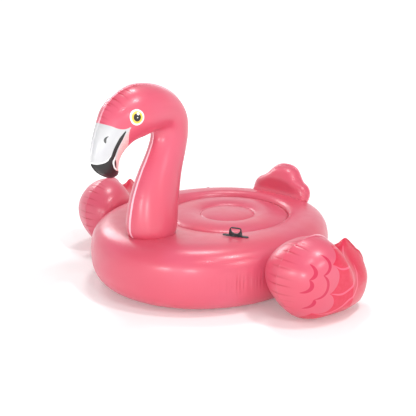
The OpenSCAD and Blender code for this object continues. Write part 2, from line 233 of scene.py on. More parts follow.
def stroke(path, y, z, half, taper=(1.0, 1.0)):
    """Signed distance to a brush stroke that thins towards its ends, by the sharpness of each."""
    dist, t = nearest(path, y, z)
    w = half * (1 - (1 - t) ** (6 / taper[0])) ** 0.8 * (1 - t ** (6 / taper[1])) ** 0.8
    return w - dist


# ---- Materials ------------------------------------------------------------------------------------

PINK = (0.63, 0.088, 0.150, 1)
PINK_WARM = (0.64, 0.078, 0.130, 1)
# Painted shade: the dark red laid into the troughs of the pleats.
CREASE_SHADE = (0.46, 0.020, 0.045, 1)
PALE_EDGE = (0.880, 0.520, 0.600, 1)
MAGENTA = (0.62, 0.006, 0.045, 1)
DARK_RED = (0.55, 0.008, 0.060, 1)
LOOP_PINK = (0.74, 0.085, 0.165, 1)
BEAK = (0.57, 0.57, 0.58, 1)
LOWER_BEAK = (0.820, 0.520, 0.510, 1)
BLACK = (0.004, 0.004, 0.004, 1)
WHITE = (0.880, 0.880, 0.880, 1)
YELLOW = (0.900, 0.600, 0.070, 1)
HANDLE = (0.022, 0.026, 0.030, 1)
VALVE = (0.800, 0.420, 0.470, 1)


class Shader:
    """A node tree with short calls for the nodes that these materials use."""

    def __init__(self, name):
        self.mat = bpy.data.materials.new(name)
        self.mat.use_nodes = True
        self.tree = self.mat.node_tree
        self.bsdf = self.tree.nodes["Principled BSDF"]

    def link(self, socket, value):
        if isinstance(value, bpy.types.NodeSocket):
            self.tree.links.new(value, socket)
        else:
            socket.default_value = value

    def value(self, key):
        n = self.tree.nodes.new("ShaderNodeAttribute")
        n.attribute_name = key
        return n.outputs["Fac"]

    def math(self, op, a, b=0.0):
        n = self.tree.nodes.new("ShaderNodeMath")
        n.operation = op
        self.link(n.inputs[0], a)
        self.link(n.inputs[1], b)
        return n.outputs[0]

    def between(self, x, low, high, out_low=0.0, out_high=1.0):
        n = self.tree.nodes.new("ShaderNodeMapRange")
        n.interpolation_type = "SMOOTHSTEP"
        ranges = {"Value": x, "From Min": low, "From Max": high, "To Min": out_low, "To Max": out_high}
        for k, v in ranges.items():
            self.link(n.inputs[k], v)
        return n.outputs[0]

    def mix(self, fac, a, b):
        n = self.tree.nodes.new("ShaderNodeMix")
        n.data_type = "RGBA"
        self.link(n.inputs["Factor"], fac)
        self.link(n.inputs["A"], a)
        self.link(n.inputs["B"], b)
        return n.outputs["Result"]

    def place(self, scale):
        """Object coordinates times a scale for each axis."""
        c = self.tree.nodes.new("ShaderNodeTexCoord")
        m = self.tree.nodes.new("ShaderNodeMapping")
        m.inputs["Scale"].default_value = scale
        self.tree.links.new(c.outputs["Object"], m.inputs["Vector"])
        return m.outputs[0]

    def distance(self):
        """How far a point lies from the object's origin."""
        n = self.tree.nodes.new("ShaderNodeVectorMath")
        n.operation = "LENGTH"
        self.link(n.inputs[0], self.place((1, 1, 1)))
        return n.outputs["Value"]

    def pair(self, a, b):
        n = self.tree.nodes.new("ShaderNodeCombineXYZ")
        self.link(n.inputs[0], a)
        self.link(n.inputs[1], b)
        return n.outputs[0]

    def noise(self, vector, scale, detail=2.0):
        n = self.tree.nodes.new("ShaderNodeTexNoise")
        self.link(n.inputs["Vector"], vector)
        n.inputs["Scale"].default_value = scale
        n.inputs["Detail"].default_value = detail
        return n.outputs["Fac"]

    def bump(self, height, distance, strength=1.0):
        n = self.tree.nodes.new("ShaderNodeBump")
        n.inputs["Distance"].default_value = distance
        n.inputs["Strength"].default_value = strength
        self.link(n.inputs["Height"], height)
        return n.outputs[0]

    def finish(self, color, normal=None, **sockets):
        self.link(self.bsdf.inputs["Base Color"], color)
        if normal is not None:
            self.link(self.bsdf.inputs["Normal"], normal)
        for key, v in sockets.items():
            self.link(self.bsdf.inputs[key.replace("_", " ")], v)
        return self.mat


def film(name, prints=None):
    """Glossy inflated vinyl: uneven colour, pale welds, painted shade in the pleat troughs, and fine
    gathers that fade away from each weld.
    """
    s = Shader(name)
    where = s.place((1, 1, 1))
    cloud = s.noise(where, 3.2, 1.5)
    color = s.mix(s.between(cloud, 0.35, 0.68), PINK, PINK_WARM)
    color = s.mix(s.math("MULTIPLY", s.value("edge"), 0.85), color, PALE_EDGE)
    if prints:
        color = prints(s, color)
    # Painted shade: the colour turns dark red where the pleats sink the film.
    color = s.mix(s.value("crease"), color, CREASE_SHADE)
    gather_at = s.pair(s.math("MULTIPLY", s.value("along"), 75.0), s.math("MULTIPLY", s.value("off"), 7.0))
    gathers = s.math("MULTIPLY", s.noise(gather_at, 1.0, 0.0), s.value("pucker"))
    normal = s.bump(gathers, 0.0016, 0.5)
    rough = s.between(s.noise(where, 14.0, 3.0), 0.3, 0.75, 0.34, 0.42)
    return s.finish(
        color, normal, Roughness=rough, Coat_Weight=0.4, Coat_Roughness=0.24, Specular_IOR_Level=0.5
    )


def inked(s, color, key, ink, blur=0.7):
    """Ink laid over a colour where a signed distance is positive."""
    return s.mix(s.between(s.value(key), -blur, blur), color, ink)


def head_prints(s, color):
    """Beak, mouth, nostril and eye, printed on the film."""
    hatch = s.noise(s.place((40, 260, 120)), 1.0, 1.0)
    lower = s.mix(s.between(hatch, 0.4, 0.65), LOWER_BEAK, (0.84, 0.40, 0.40, 1))
    color = inked(s, color, "lower", lower)
    shade = s.noise(s.place((1, 1, 1)), 11.0, 2.0)
    color = inked(s, color, "beak", s.mix(s.between(shade, 0.3, 0.7), BEAK, (0.53, 0.53, 0.55, 1)))
    color = inked(s, color, "white", WHITE)
    color = inked(s, color, "black", BLACK)
    eye = s.value("eye")
    iris = s.mix(s.between(eye, 0.50, 0.60), (0.62, 0.34, 0.04, 1), YELLOW)
    disc = s.mix(s.between(eye, 0.48, 0.52), BLACK, iris)
    disc = s.mix(s.between(eye, 0.75, 0.80), disc, WHITE)
    color = s.mix(s.between(eye, 0.985, 1.015), disc, color)
    return inked(s, color, "glint", WHITE)


def wing_prints(s, color):
    """Feather scallops: dark strokes on the pink and pale loops on the magenta tips."""
    streak = s.noise(s.place((20, 60, 60)), 1.0, 2.0)
    deep = s.mix(s.between(streak, 0.35, 0.7), MAGENTA, (0.640, 0.012, 0.060, 1))
    color = inked(s, color, "deep", deep)
    color = inked(s, color, "pale", LOOP_PINK, 1.2)
    return inked(s, color, "dark", DARK_RED, 1.0)


def moulded(name, color, rough, grain, **sockets):
    """Moulded vinyl with a fine grain."""
    s = Shader(name)
    where = s.place((1, 1, 1))
    darker = tuple(c * 0.8 for c in color[:3]) + (1,)
    tone = s.mix(s.between(s.noise(where, 60.0, 3.0), 0.3, 0.7), color, darker)
    normal = s.bump(s.noise(where, grain, 2.0), 0.0003, 0.5)
    return s.finish(tone, normal, Roughness=rough, **sockets)


MAT_BODY = film("body_film")
MAT_HEAD = film("head_film", head_prints)
MAT_WING = film("wing_film", wing_prints)
MAT_WEB = moulded("web_film", (0.80, 0.16, 0.22, 1), 0.4, 300.0)
MAT_HANDLE = moulded("handle_vinyl", HANDLE, 0.42, 900.0)
MAT_VALVE = moulded(
    "valve_vinyl", VALVE, 0.3, 500.0, Subsurface_Weight=0.3, Subsurface_Radius=(0.01, 0.004, 0.004)
)


def dressed(obj, material):
    obj.data.materials.clear()
    obj.data.materials.append(material)
    return obj


# ---- Ring and seat --------------------------------------------------------------------------------

AROUND = 1280
TURN = np.arange(AROUND) / AROUND * 2 * np.pi


def ring_edge(a):
    return np.stack([RING_W * np.cos(a), RING_L * np.sin(a) + RING_Y], -1)


def ring_section(length, top):
    """A fine section of the ring for one angle: distance in from the weld, and height from -1 to 1."""
    tube = min(TUBE_W, 0.8 * length)
    turn = 90 * np.linspace(0, 1, 160) ** 2.4
    if top:
        q0, q1 = quarter(90 - turn, TUBE_POWER)
        rise = tube * (1 - q0), q1
        q0, q1 = quarter(np.linspace(0, 90, 120)[1:], 1.9)
        fall = tube + (length - tube) * q0, (SEAT_GROOVE_Z - MID_Z + (RING_H - SEAT_GROOVE_Z) * q1) / MID_Z
    else:
        q0, q1 = quarter(90 - turn, BASE_POWER)
        rise = tube * (1 - q0), -q1
        q0, q1 = quarter(np.linspace(0, 90, 120)[1:], 2.3)
        fall = tube + (length - tube) * (0.5 + 0.5 * q0), -1 + FLOOR_GROOVE_Z / MID_Z * (1 - q1)
    d = np.concatenate([rise[0], fall[0]])
    h = np.concatenate([rise[1], fall[1]])
    return np.stack([d, h * MID_Z], 1)


def ring_grid(top, rows):
    edge = ring_edge(TURN)
    groove = SEAT_R * np.stack([np.cos(TURN), np.sin(TURN)], 1)
    g = np.zeros((rows, AROUND, 3))
    off = np.zeros((rows, AROUND))
    for j in range(AROUND):
        span = groove[j] - edge[j]
        length = np.linalg.norm(span)
        s, total = spread(ring_section(length, top), rows)
        g[:, j, :2] = edge[j] + span * s[:, :1] / length
        g[:, j, 2] = MID_Z + s[:, 1]
        arc_at = np.linspace(0, total, rows)
        off[:, j] = np.minimum(arc_at, total - arc_at)
    return g, off


def ring_skin(top):
    rows = 60 if top else 44
    g, off = ring_grid(top, rows)
    out = grid_normals(g, True) * (1 if top else -1)
    lengths = np.linalg.norm(np.roll(g[0], -1, axis=0) - g[0], axis=1)
    along = np.broadcast_to(np.cumsum(lengths), off.shape)
    near_wing = np.exp(-(((TURN + 0.50 + np.pi) % (2 * np.pi) - np.pi) / 0.17) ** 2)
    near_far_wing = np.exp(-(((TURN - np.pi - 0.50 + np.pi) % (2 * np.pi) - np.pi) / 0.17) ** 2)
    outer = np.linspace(0, 1, rows)[:, None] < 0.5
    strength = np.where(outer, 0.02 + 0.98 * np.maximum(near_wing, near_far_wing)[None, :], 0.12)
    pleats = RING_PLEATS.drop(along, off) * strength
    g = g - out * pleats[..., None]
    g[0, :, 2] = MID_Z
    name = "ring_top_skin" if top else "ring_bottom_skin"
    pucker = strength * np.exp(-((off / 0.05) ** 2))
    values = {"along": along, "off": off, "pucker": pucker}
    values["edge"] = 0.3 * np.exp(-((off / 0.004) ** 2)) * ~outer
    # Painted shade for the pleat troughs: deeper pleats are painted darker.
    values["crease"] = 0.35 * np.clip(pleats / (2.6 * MM), 0, 1) * outer
    obj = skin(name, g, wrap=True, flip=not top, values=values)
    dressed(obj, MAT_BODY)
    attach(obj, "float")
    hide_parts("ring_top_panel" if top else "ring_bottom_panel")


RING_PLEATS = Pleats(2 * np.pi * (RING_W + RING_L) / 2, 21 * MM, 4.5 * MM, 2.6 * MM, 60 * MM)
ring_skin(True)
ring_skin(False)


def arch(u, power):
    return np.clip(1 - np.abs(2 * u - 1) ** power, 0, 1) ** (1 / power)


def round_skin(name, radii, heights, node, flip, pole_z=None, weld_radii=()):
    """A round panel from radii and heights, outermost first, with gathers next to its welds."""
    count = 720
    t = np.arange(count) / count * 2 * np.pi
    r = np.broadcast_to(np.asarray(radii)[:, None], (len(radii), count))
    off = np.min([np.abs(r - w) for w in weld_radii], axis=0)
    along = np.broadcast_to(t * SEAT_R, r.shape)
    pleats = Pleats(2 * np.pi * SEAT_R, 30 * MM, 7 * MM, 0.5 * MM, 30 * MM).drop(along, off)
    z = np.asarray(heights)[:, None] - pleats * (1 if not flip else -1)
    g = np.stack([r * np.cos(t), r * np.sin(t), np.broadcast_to(z, r.shape)], -1)
    pole = None if pole_z is None else (0, 0, pole_z)
    if pole is not None:
        g, off, along = g[::-1], off[::-1], along[::-1]
        flip = not flip
    values = {"along": along, "off": off, "pucker": 0.15 * np.exp(-((off / 0.03) ** 2))}
    values["edge"] = 0.3 * np.exp(-((off / 0.004) ** 2))
    obj = skin(name, g, wrap=True, pole=pole, flip=flip, values=values)
    dressed(obj, MAT_BODY)
    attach(obj, "float")
    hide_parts(node)


u = (1 - np.cos(np.linspace(0, np.pi, 60))) / 2
round_skin(
    "seat_skin",
    SEAT_R + (DISC_R - SEAT_R) * u,
    SEAT_GROOVE_Z + (DISC_GROOVE_Z - SEAT_GROOVE_Z) * u + SEAT_SWELL * arch(u, 2.0),
    "seat_panel", False, weld_radii=(SEAT_R, DISC_R),
)
q0, q1 = quarter(np.linspace(90, 2, 34), 2.0)
disc_top = DISC_GROOVE_Z + 0.7 * SEAT_SWELL
round_skin(
    "seat_disc_skin", DISC_R * q0, DISC_GROOVE_Z + 0.7 * SEAT_SWELL * q1,
    "seat_disc_panel", False, pole_z=disc_top, weld_radii=(DISC_R,),
)
floor_steps = np.array([0, 0.03, 0.1, 0.22, 0.78, 0.9, 0.97, 1])
floor_rise = np.array([1, 0.45, 0.12, 0, 0, 0.12, 0.45, 1])
u = np.linspace(0, 1, 70)
round_skin(
    "floor_skin",
    SEAT_R + (DISC_R - SEAT_R) * u,
    FLOOR_GROOVE_Z * np.interp(u, floor_steps, floor_rise) + 0.4 * MM,
    "floor_panel", True, weld_radii=(SEAT_R, DISC_R),
)
u = np.linspace(1, 0.05, 40)
disc_steps = np.array([0, 0.82, 0.93, 0.98, 1])
disc_rise = np.array([0, 0, 0.12, 0.45, 1])
round_skin(
    "floor_disc_skin",
    DISC_R * u,
    FLOOR_GROOVE_Z * np.interp(u, disc_steps, disc_rise) + 0.4 * MM,
    "floor_disc_panel", True, pole_z=0.4 * MM, weld_radii=(DISC_R,),
)

# ---- Neck and head --------------------------------------------------------------------------------

# Stations up the neck, over the head and down the beak, in millimetres:
# back rail y, z, front rail y, z, swell
STATIONS = [
    (-490, 396, -818, 396, 146), (-476, 500, -806, 500, 136), (-456, 620, -776, 620, 122),
    (-427, 740, -722, 738, 106), (-392, 850, -658, 850, 95), (-372, 950, -624, 930, 92),
    (-383, 1052, -628, 976, 98), (-444, 1146, -652, 980, 110), (-548, 1212, -690, 970, 124),
    (-666, 1244, -732, 958, 132), (-790, 1246, -774, 950, 131), (-888, 1209, -802, 940, 122),
    (-960, 1152, -822, 928, 108), (-1005, 1072, -845, 912, 93), (-1038, 1000, -868, 888, 79),
    (-1060, 925, -884, 860, 67), (-1064, 862, -890, 826, 56), (-1034, 816, -890, 798, 44),
    (-990, 783, -893, 776, 27), (-950, 764, -915, 763, 8),
]

BEAK_TOP = curve([
    (-1045, 1092), (-1009, 1076), (-979, 1064), (-950, 1049), (-925, 1043), (-903, 1044), (-884, 1051),
    (-866, 1066),
])
TIP_TOP = curve([
    (-981, 909), (-991, 888), (-1012, 871), (-1035, 864), (-1053, 861), (-1070, 864), (-1090, 872),
])
MOUTH = curve([(-904, 1036), (-920, 1012), (-931, 994), (-944, 971), (-961, 934), (-972, 900), (-985, 880)])
STRIPE_EDGE = curve([
    (-866, 1066), (-891, 1028), (-909, 1005), (-924, 980), (-937, 942), (-945, 909), (-950, 876),
])
BODY_EDGE = curve([
    (-866, 1066), (-878, 1050), (-885, 1025), (-886, 1005), (-882, 985), (-872, 955), (-860, 930),
])
EYE = (-842, 1099)
EYE_R = (42, 43)


def head_values(y, z):
    """Signed distances of the printed shapes, in millimetres, on the panel's side view."""
    beak = region(np.vstack([BEAK_TOP, STRIPE_EDGE[1:], [(-955, 820), (-1100, 820), (-1110, 1000)]]), y, z)
    under = [(-800, 900), (-870, 760), (-960, 740)]
    lower = region(np.vstack([BODY_EDGE, under, STRIPE_EDGE[::-1][:-1]]), y, z)
    tip_right = [
        (-976, 892), (-972, 860), (-957, 831), (-937, 812), (-905, 800), (-850, 790), (-850, 700),
        (-1120, 700),
    ]
    tip = region(np.vstack([TIP_TOP[::-1], tip_right]), y, z)
    dist, t = nearest(MOUTH, y, z)
    mouth = 1.5 + 8.5 * np.clip(t / 0.3, 0, 1) ** 0.8 + 3 * np.clip(t, 0, 1) - dist - 3 * (t <= 0)
    nostril = stroke(arc((-990, 1012), (-1006, 1001), (-1010, 974)), y, z, 7.0, (4.5, 1.0))
    sliver = stroke(curve([(-955, 880), (-950, 856), (-938, 830), (-930, 822)]), y, z, 8, (1.5, 2.5))
    black = np.max([tip, mouth, nostril, sliver], axis=0)
    rim = curve([(-957, 900), (-966, 861), (-955, 833), (-930, 815)])
    white = np.maximum(stroke(rim, y, z, 5.0, (1.5, 0.8)), stroke(TIP_TOP, y, z - 5, 4, (0.6, 0.6)))
    eye = np.hypot((y - EYE[0]) / EYE_R[0], (z - EYE[1]) / EYE_R[1])
    glint = np.maximum(8.5 - np.hypot(y + 835, z - 1118), 3.5 - np.hypot(y + 841, z - 1098))
    return {"beak": beak, "lower": lower, "black": black, "white": white, "eye": eye, "glint": glint}


def neck_half(side):
    """One welded half of the neck and head, from its front weld round the side to its back weld."""
    rows, cols = 760, 60
    low = -0.32
    u = np.linspace(low, len(STATIONS) - 1, rows)
    s = spline(STATIONS, np.clip(u, 0, None)) * MM
    below = np.clip(-u, 0, None)
    s[:, 1] -= below * 104 * MM
    s[:, 3] -= below * 104 * MM
    back, front, swell = s[:, 0:2], s[:, 2:4], s[:, 4]
    foot = np.exp(-((np.clip(back[:, 1] - 366 * MM, 0, None) / (34 * MM)) ** 1.3))
    front = front + np.stack([34 * MM * foot, 0 * foot], 1)
    back = back - np.stack([14 * MM * foot, 0 * foot], 1)
    mid, half = (back + front) / 2, (back - front) / 2
    swell = swell * (1 - 0.10 * foot)
    out = half / np.linalg.norm(half, axis=1, keepdims=True)
    a = np.linspace(0, np.pi, cols)
    across = mid[:, None, :] - half[:, None, :] * np.cos(a)[None, :, None]
    g = np.zeros((rows, cols + 4, 3))
    g[:, 2:-2, 0] = SEAM + swell[:, None] * np.sin(a)[None, :] ** 1.15
    g[:, 2:-2, 1:] = across
    throat = np.exp(-(((u - 6.2) / 1.5) ** 2))
    tail_off = np.clip((u - 17.5) / 1.5, 0, 1)
    slim = 0.85 - 0.20 * np.clip((u - 7) / 2, 0, 1)
    width = WELD_W * (1 - 0.75 * throat) * (1 - 0.5 * tail_off) * (1 - foot) * slim
    back_width = WELD_W * (1 - foot) * (1 - 0.5 * tail_off) * slim
    for col, rail, reach, x in (
        (0, across[:, 0], -width, 0), (1, across[:, 0], -0.93 * width, 1.3 * MM),
        (-2, across[:, -1], 0.93 * back_width, 1.3 * MM), (-1, across[:, -1], back_width, 0),
    ):
        g[:, col, 1:] = rail + out * reach[:, None]
        g[:, col, 0] = x
    off_front = np.linalg.norm(g - g[:, 2:3], axis=2)
    off_back = np.linalg.norm(g - g[:, -3:-2], axis=2)
    steps = np.linalg.norm(np.diff(back, axis=0), axis=1)
    along_back = np.concatenate([[0], np.cumsum(steps)])[:, None] + 0 * off_back
    normals = grid_normals(g, False)
    forehead = np.clip((u - 8.0) / 1.5, 0, 1) * np.clip(13.4 - u, 0, 1)
    strength = (0.25 + 0.9 * forehead)[:, None]
    drop = NECK_PLEATS.drop(along_back, off_back) * strength + 0.5 * NECK_PLEATS.drop(along_back, off_front)
    drop[:, :2] = drop[:, -2:] = 0
    g = g - normals * drop[..., None]
    g[..., 0] = np.maximum(g[..., 0], 0)
    off = np.minimum(off_front, off_back)
    off[:, :3] = off[:, -3:] = 0
    values = head_values(g[..., 1] / MM, g[..., 2] / MM)
    edge = (off < 1e-6) * (np.abs(g[..., 0]) < SEAM)
    edge = edge * (1 - 0.5 * forehead[:, None])
    values.update(along=along_back, off=off, pucker=np.exp(-((off / 0.035) ** 2)) * strength, edge=edge)
    # Painted shade for the forehead pleat troughs: deeper pleats are painted darker.
    values["crease"] = np.clip(drop / (2.0 * MM), 0, 1) * forehead[:, None]
    name = "neck_left" if side > 0 else "neck_right"
    g[..., 0] *= side
    obj = skin(name + "_skin", g, flip=side < 0, values=values)
    dressed(obj, MAT_HEAD)
    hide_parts(name + "_panel")
    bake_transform(obj)


NECK_PLEATS = Pleats(2.6, 24 * MM, 3.6 * MM, 2.0 * MM, 40 * MM)
neck_half(1)
neck_half(-1)

# ---- Wings ----------------------------------------------------------------------------------------

WING_MIDDLE = np.array((-205, 215)) * MM
WING_LINE = np.array([
    (-330, 6), (-395, 45), (-450, 110), (-490, 180), (-508, 260), (-495, 340), (-450, 400),
    (-380, 448), (-300, 470), (-225, 463), (-170, 432), (-128, 385), (-86, 386), (-36, 406),
    (14, 366), (50, 330), (80, 306), (110, 252), (114, 176), (96, 98), (60, 44), (16, 9),
    (-40, 4), (-105, 3), (-180, 3), (-255, 3),
]) * MM
WING_EDGE, WING_LENGTH = closed_spline(WING_LINE, 640)
WING_OUT, WING_IN, WING_GAP = 185 * MM, 180 * MM, 5 * MM

ROW_ONE = [arc((-412, 376), (-403, 340), (-438, 299)), arc((-438, 299), (-429, 258), (-466, 222))]
ROW_TWO = [
    arc((-345, 416), (-322, 368), (-371, 316)), arc((-371, 316), (-342, 250), (-410, 184)),
    arc((-410, 184), (-404, 148), (-424, 116)),
]
BORDER = [
    arc((-243, 438), (-264, 398), (-306, 363)), arc((-306, 363), (-266, 285), (-329, 203)),
    arc((-329, 203), (-296, 150), (-380, 86)),
]
FEATHER_LOOPS = [
    curve([
        (-253, 430), (-190, 412), (-140, 372), (-124, 340), (-160, 324), (-224, 322), (-263, 333),
        (-300, 360),
    ]),
    curve([(-125, 326), (-100, 337), (-77, 356), (-60, 382)]),
    curve([(-117, 322), (-120, 270), (-151, 220), (-193, 195), (-249, 182), (-325, 204)]),
    curve([
        (-33, 290), (-60, 250), (-91, 226), (-141, 158), (-192, 132), (-240, 100), (-310, 76), (-378, 82),
    ]),
]


def wing_values(y, z, outer):
    """Signed distances of the printed feathers, in millimetres, on the panel's side view."""
    if not outer:
        none = np.full(y.shape, -99.0)
        return {"dark": none, "deep": y + 118, "pale": none}
    dark = np.max([stroke(p, y, z, 9.0, (1.0, 1.0)) for p in ROW_ONE + ROW_TWO], axis=0)
    behind = [(-380, 40), (-300, -60), (300, -60), (300, 600), (-120, 600), (-150, 424)]
    outline = np.vstack(BORDER + [behind])
    deep = region(outline, y, z)
    pale = np.max([stroke(p, y, z, 6, (1.0, 1.0)) for p in FEATHER_LOOPS], axis=0)
    return {"dark": dark, "deep": deep, "pale": np.minimum(pale, deep + 3)}


def wing_plane(y):
    return 826 * MM + 0.204 * (y + 519 * MM)


def ring_side(y, z):
    """The ring's side at a height, where a wing lies against it."""
    h = np.clip(np.abs(z - MID_Z) / MID_Z, 0, 0.999)
    inset = TUBE_W * (1 - (1 - h**TUBE_POWER) ** (1 / TUBE_POWER))
    v = np.clip(np.abs(y - RING_Y) / (RING_L - inset), 0, 0.95)
    return (RING_W - inset) * np.sqrt(1 - v * v)


def wing_stop(y, z):
    return ring_side(y, z) + WING_GAP + np.clip(z - 290 * MM, 0, None) * 0.4


def pillow_rows(count):
    """Shares of the way from the middle to the weld, closer together near the weld."""
    return 1 - (1 - np.arange(1, count + 1) / count) ** 1.7


def softened(values, rounds):
    """Values round a closed line, averaged with their neighbours."""
    v = values.copy()
    for _ in range(rounds):
        v = (np.roll(v, 1) + v + np.roll(v, -1)) / 3
    return v


def smooth_step(x):
    x = np.clip(x, 0, 1)
    return x * x * (3 - 2 * x)


def depth_inside(p, line):
    """How deep each point lies inside a closed line, smooth everywhere and nothing on the line."""
    gap = np.linalg.norm(line[1] - line[0])
    pull = []
    for row in p:
        square = ((row[:, None] - line[None]) ** 2).sum(-1)
        pull.append((gap / (square + 0.1 * gap * gap) ** 1.5).sum(-1))
    return np.array(pull) ** -0.5


WING_U = pillow_rows(78)
WING_P = WING_MIDDLE + (WING_EDGE - WING_MIDDLE)[None] * WING_U[:, None, None]
WING_DEPTH = depth_inside(WING_P, WING_EDGE) / 0.092


def wing_panel(side_name, sign, outer):
    """One printed panel of a wing: a pillow from the middle out to the weld, with the weld's flange."""
    line, length, u, p = WING_EDGE, WING_LENGTH, WING_U, WING_P
    rows, cols = p.shape[:2]
    rear = np.clip((p[..., 0] + 0.160) / 0.280, 0, 1)
    tips = smooth_step((p[..., 0] + 0.20) / 0.16) * smooth_step((p[..., 1] - 0.18) / 0.18)
    lift = (1 - (1 - np.clip(WING_DEPTH, 0, 1)) ** 2.2) ** 0.71 * (1 - 0.50 * rear) * (1 - 0.75 * tips)
    lift[-1] = 0
    off = (1 - u)[:, None] * np.linalg.norm(line - WING_MIDDLE, axis=1)[None]
    along = np.broadcast_to(np.arange(cols) / cols * length, off.shape)
    front = np.exp(-(((along - length * 0.20 + length / 2) % length - length / 2) / 0.30) ** 2)
    strength = 0.05 + 0.95 * front
    drop = WING_PLEATS.drop(along, off) * strength
    x0 = wing_plane(p[..., 0])
    if outer:
        x = x0 + SEAM + WING_OUT * lift
    else:
        x = smooth_max(wing_stop(p[..., 0], p[..., 1]), x0 - SEAM - WING_IN * lift, 12 * MM)
        x = np.minimum(x, x0 - SEAM * (u < 0.9999)[:, None] * 0.5)
    g = np.stack([x, p[..., 0], p[..., 1]], -1)
    normals = grid_normals(g, True) * (1 if outer else -1)
    g = g - normals * drop[..., None]
    away = line - WING_MIDDLE
    away = away / np.linalg.norm(away, axis=1, keepdims=True)
    free = np.clip((line[:, 0] + 0.33) / 0.09, 0, 1) * np.clip((line[:, 1] - 0.03) / 0.05, 0, 1)
    free = softened(free, 12)[:, None]
    rim = []
    for share, thick in ((0.9, 1.3 * MM), (1.0, 0.0)):
        q = line + away * WELD_W * share * free
        q[:, 1] = np.maximum(q[:, 1], 1.5 * MM)
        rim.append(np.stack([wing_plane(q[:, 0]) + (thick if outer else -thick), q[:, 0], q[:, 1]], -1))
    g = np.concatenate([g, np.array(rim)], 0)
    g[..., 2] = np.maximum(g[..., 2], 1.0 * MM)
    pad = lambda m: np.concatenate([m, np.zeros((2, cols))], 0)
    off, strength = pad(off), pad(strength)
    along = np.concatenate([along, along[:2]], 0)
    edge = np.zeros(off.shape)
    edge[-2:] = free[:, 0]
    values = wing_values(g[..., 1] / MM, g[..., 2] / MM, outer)
    # Painted shade for the pleat troughs: deeper pleats are painted darker.
    crease = np.concatenate([drop, np.zeros((2, cols))], 0) / (1.9 * MM)
    values.update(
        along=along, off=off, pucker=0.6 * strength * np.exp(-((off / 0.05) ** 2)), edge=edge,
        crease=np.clip(crease, 0, 1),
    )
    pole = np.array([g[0, :, 0].mean(), *WING_MIDDLE])
    g[..., 0] *= sign
    pole[0] *= sign
    name = f"wing_{side_name}_{'outer' if outer else 'inner'}"
    obj = skin(name + "_skin", g, wrap=True, pole=pole, flip=(sign > 0) != outer, values=values)
    dressed(obj, MAT_WING)
    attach(obj, "wing_" + side_name)
    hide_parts(name + "_panel")


WING_PLEATS = Pleats(1.95, 50 * MM, 3.8 * MM, 2.4 * MM, 13 * MM)
for side_name, sign in (("left", 1), ("right", -1)):
    for outer in (True, False):
        wing_panel(side_name, sign, outer)


def wing_root(side_name, sign):
    """The short welded sleeve through which a wing fills from the ring."""
    cols, rows = 96, 9
    t = np.arange(cols) / cols * 2 * np.pi
    y = -0.15 + 0.15 * np.cos(t)
    z = 0.296 + 0.026 * np.sin(t)
    inside, outside = ring_side(y, z) - 6 * MM, wing_stop(y, z) + 6 * MM
    g = np.zeros((rows, cols, 3))
    for i in range(rows):
        s = i / (rows - 1)
        pinch = 1 - 0.16 * math.sin(math.pi * s)
        g[i, :, 0] = sign * (inside + (outside - inside) * s)
        g[i, :, 1] = -0.15 + (y + 0.15) * (1 + (pinch - 1) * 0.2)
        g[i, :, 2] = 0.296 + (z - 0.296) * pinch
    along = np.broadcast_to(t * 0.1, (rows, cols))
    half = np.full((rows, cols), 0.02)
    values = {"along": along, "off": half, "pucker": half * 30}
    obj = skin(f"wing_{side_name}_root", g, wrap=True, flip=sign > 0, values=values)
    dressed(obj, MAT_BODY)
    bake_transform(obj)


wing_root("left", 1)
wing_root("right", -1)

# ---- Tail -----------------------------------------------------------------------------------------

TAIL_HALF = [
    (116, -46), (200, -50), (228, -4), (227, 46), (200, 82), (157, 105), (134, 124), (113, 148), (86, 174),
    (46, 191),
]
TAIL_LINE = np.array([(0, -44)] + TAIL_HALF + [(0, 195)] + [(-x, h) for x, h in TAIL_HALF[::-1]]) * MM
TAIL_MIDDLE = np.array((0, 84)) * MM
TAIL_FOOT = np.array((0, 535, 378)) * MM
TAIL_LEAN = math.radians(21)
TAIL_SWELL = 78 * MM


def tail_panel(front):
    cols, rows = 420, 60
    line, length = closed_spline(TAIL_LINE, cols)
    u = pillow_rows(rows)
    p = TAIL_MIDDLE + (line - TAIL_MIDDLE)[None] * u[:, None, None]
    sunk = line - np.stack([0 * line[:, 0], 0.12 * (line[:, 1] < 0.01)], 1)
    depth = np.clip(depth_inside(p, sunk) / 0.060, 0, 1)
    closed = np.clip((1 - u) / 0.06, 0, 1)[:, None] ** 0.5
    lift = (1 - (1 - depth) ** 2.2) ** 0.65 * closed * (0.55 + 0.45 * smooth_step(p[..., 1] / 0.10))
    lift[-1] = 0
    off = (1 - u)[:, None] * np.linalg.norm(line - TAIL_MIDDLE, axis=1)[None]
    along = np.broadcast_to(np.arange(cols) / cols * length, off.shape)
    drop = TAIL_PLEATS.drop(along, off)
    away = line - TAIL_MIDDLE
    away = away / np.linalg.norm(away, axis=1, keepdims=True)
    flat = np.concatenate([p, [line + away * WELD_W * 0.9, line + away * WELD_W]], 0)
    weld = [np.full((1, cols), 1.3 * MM), np.zeros((1, cols))]
    thick = np.concatenate([SEAM + TAIL_SWELL * lift - drop, *weld], 0)
    sign = -1 if front else 1
    w = sign * thick
    x, v = flat[..., 0], flat[..., 1]
    g = np.stack([
        TAIL_FOOT[0] + x,
        TAIL_FOOT[1] + w * math.cos(TAIL_LEAN) + v * math.sin(TAIL_LEAN),
        TAIL_FOOT[2] + v * math.cos(TAIL_LEAN) - w * math.sin(TAIL_LEAN),
    ], -1)
    off = np.concatenate([off, np.zeros((2, cols))], 0)
    along = np.concatenate([along, along[:2]], 0)
    name = "tail_front" if front else "tail_back"
    edge = np.zeros(off.shape)
    edge[-2:] = 0.4
    values = {"along": along, "off": off, "pucker": 0.5 * np.exp(-((off / 0.04) ** 2)), "edge": edge}
    obj = skin(name + "_skin", g, wrap=True, pole=g[0].mean(0), flip=front, values=values)
    dressed(obj, MAT_BODY)
    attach(obj, "float")
    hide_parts(name + "_panel")


